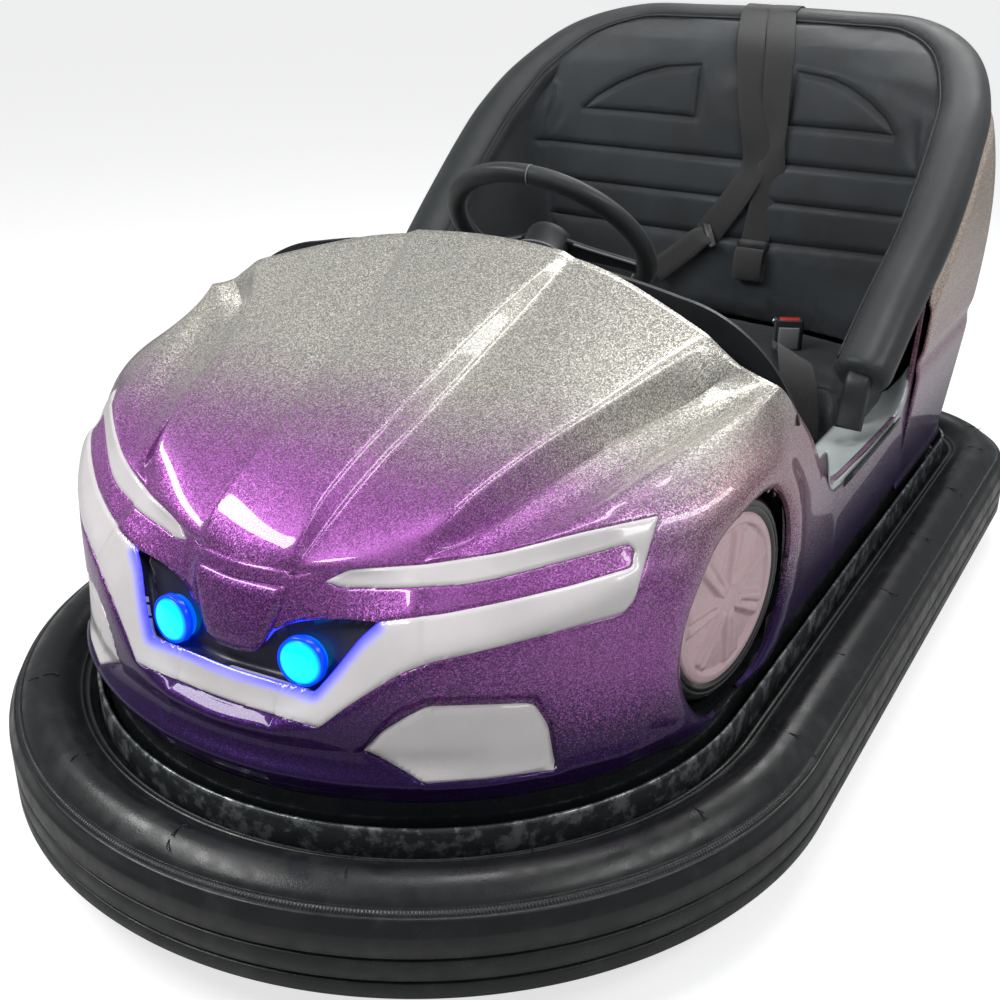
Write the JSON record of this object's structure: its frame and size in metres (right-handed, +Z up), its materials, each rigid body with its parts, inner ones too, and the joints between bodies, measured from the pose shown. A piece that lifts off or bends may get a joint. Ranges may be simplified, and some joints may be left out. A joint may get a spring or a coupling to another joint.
{
  "type": "electric fairground bumper car for two sitters",
  "caption": "Battery bumper car: fat rubber ring round a steel tray, glitter-painted shell, bench with padded roll, steering wheel and steered drive wheel.",
  "frame": {"origin": "on the floor under the middle of the bumper ring", "axes": "+Z up, +Y to the tail, -Y to the nose, x = 0 the middle of the car"},
  "size_m": [1.164, 1.9496, 0.9473],
  "materials": {
    "rubber": "satin black rubber, worn glossy",
    "glitter_paint": "metal-flake paint under clear coat, silver at the top to purple below",
    "glitter_paint_rear": "metal-flake paint under clear coat, pink to champagne",
    "lens_white": "milky white moulding",
    "lamp_blue": "lit blue lamp",
    "mouth_black": "dark gloss",
    "cap_white": "milky moulded cap",
    "black_moulding": "black moulding",
    "liner": "dark gloss liner",
    "leatherette": "dark leatherette with stitched seams",
    "bolster": "smooth black leatherette roll",
    "steel_black": "black paint",
    "steel_grey": "grey paint, worn",
    "steel_bare": "bare steel",
    "aluminium": "cast",
    "wheel_rubber": "solid rubber",
    "webbing": "woven black webbing",
    "buckle": "black with a red push"
  },
  "bodies": {
    "chassis": {"battery_block": "black_moulding", "belt_buckle": "buckle", "belt_slanted": "webbing", "belt_stalk": "webbing", "belt_straight": "webbing", "body_plinth": "black_moulding", "brow_lens_left": "lens_white", "brow_lens_right": "lens_white", "bumper_rim": "steel_grey", "bumper_tyre": "rubber", "chassis_deck": "steel_black", "chassis_frame": "steel_black", "cockpit_tub": "liner", "dash_panel": "black_moulding", "dummy_tyre_left": "black_moulding", "dummy_tyre_right": "black_moulding", "fog_lens_left": "lens_white", "fog_lens_right": "lens_white", "front_shell": "glitter_paint", "hubcap_left": "cap_white", "hubcap_right": "cap_white", "lamp_left": "lamp_blue", "lamp_right": "lamp_blue", "light_band": "lens_white", "mouth_panel": "mouth_black", "nose_shield": "glitter_paint", "pedal": "steel_bare", "rear_axle": "steel_bare", "rear_shell": "glitter_paint_rear", "seat_back": "leatherette", "seat_bolster": "bolster", "seat_box": "liner", "seat_cushion": "leatherette", "steering_bridge": "steel_black", "steering_column": "steel_black"},
    "steering": {"steering_rim": "black_moulding", "steering_spokes": "black_moulding", "steering_shaft": "steel_bare"},
    "turret": {"drive_fork": "steel_grey", "drive_motor": "steel_black"},
    "drive_wheel": {"drive_hub": "aluminium", "drive_tyre": "wheel_rubber"},
    "rear_wheel_left": {"rear_hub_left": "aluminium", "rear_tyre_left": "wheel_rubber"},
    "rear_wheel_right": {"rear_hub_right": "aluminium", "rear_tyre_right": "wheel_rubber"}
  },
  "joints": [
    {"name": "turret_turn", "type": "hinge", "parent": "chassis", "child": "turret", "pos_m": [0, -0.47, 0.169], "axis": [0, 0, 1], "continuous": true},
    {"name": "steering_turn", "type": "hinge", "parent": "chassis", "child": "steering", "pos_m": [-0.03, 0.003, 0.669], "axis": [0, 0.7314, 0.682], "continuous": true},
    {"name": "drive_wheel_spin", "type": "hinge", "parent": "turret", "child": "drive_wheel", "pos_m": [0, -0.47, 0.075], "axis": [1, 0, 0], "continuous": true},
    {"name": "rear_wheel_spin_left", "type": "hinge", "parent": "chassis", "child": "rear_wheel_left", "pos_m": [-0.3, 0.56, 0.075], "axis": [1, 0, 0], "continuous": true},
    {"name": "rear_wheel_spin_right", "type": "hinge", "parent": "chassis", "child": "rear_wheel_right", "pos_m": [0.3, 0.56, 0.075], "axis": [1, 0, 0], "continuous": true}
  ],
  "couplings": [
    {"joint": "steering_turn", "follows": "turret_turn", "ratio": 1}
  ]
}
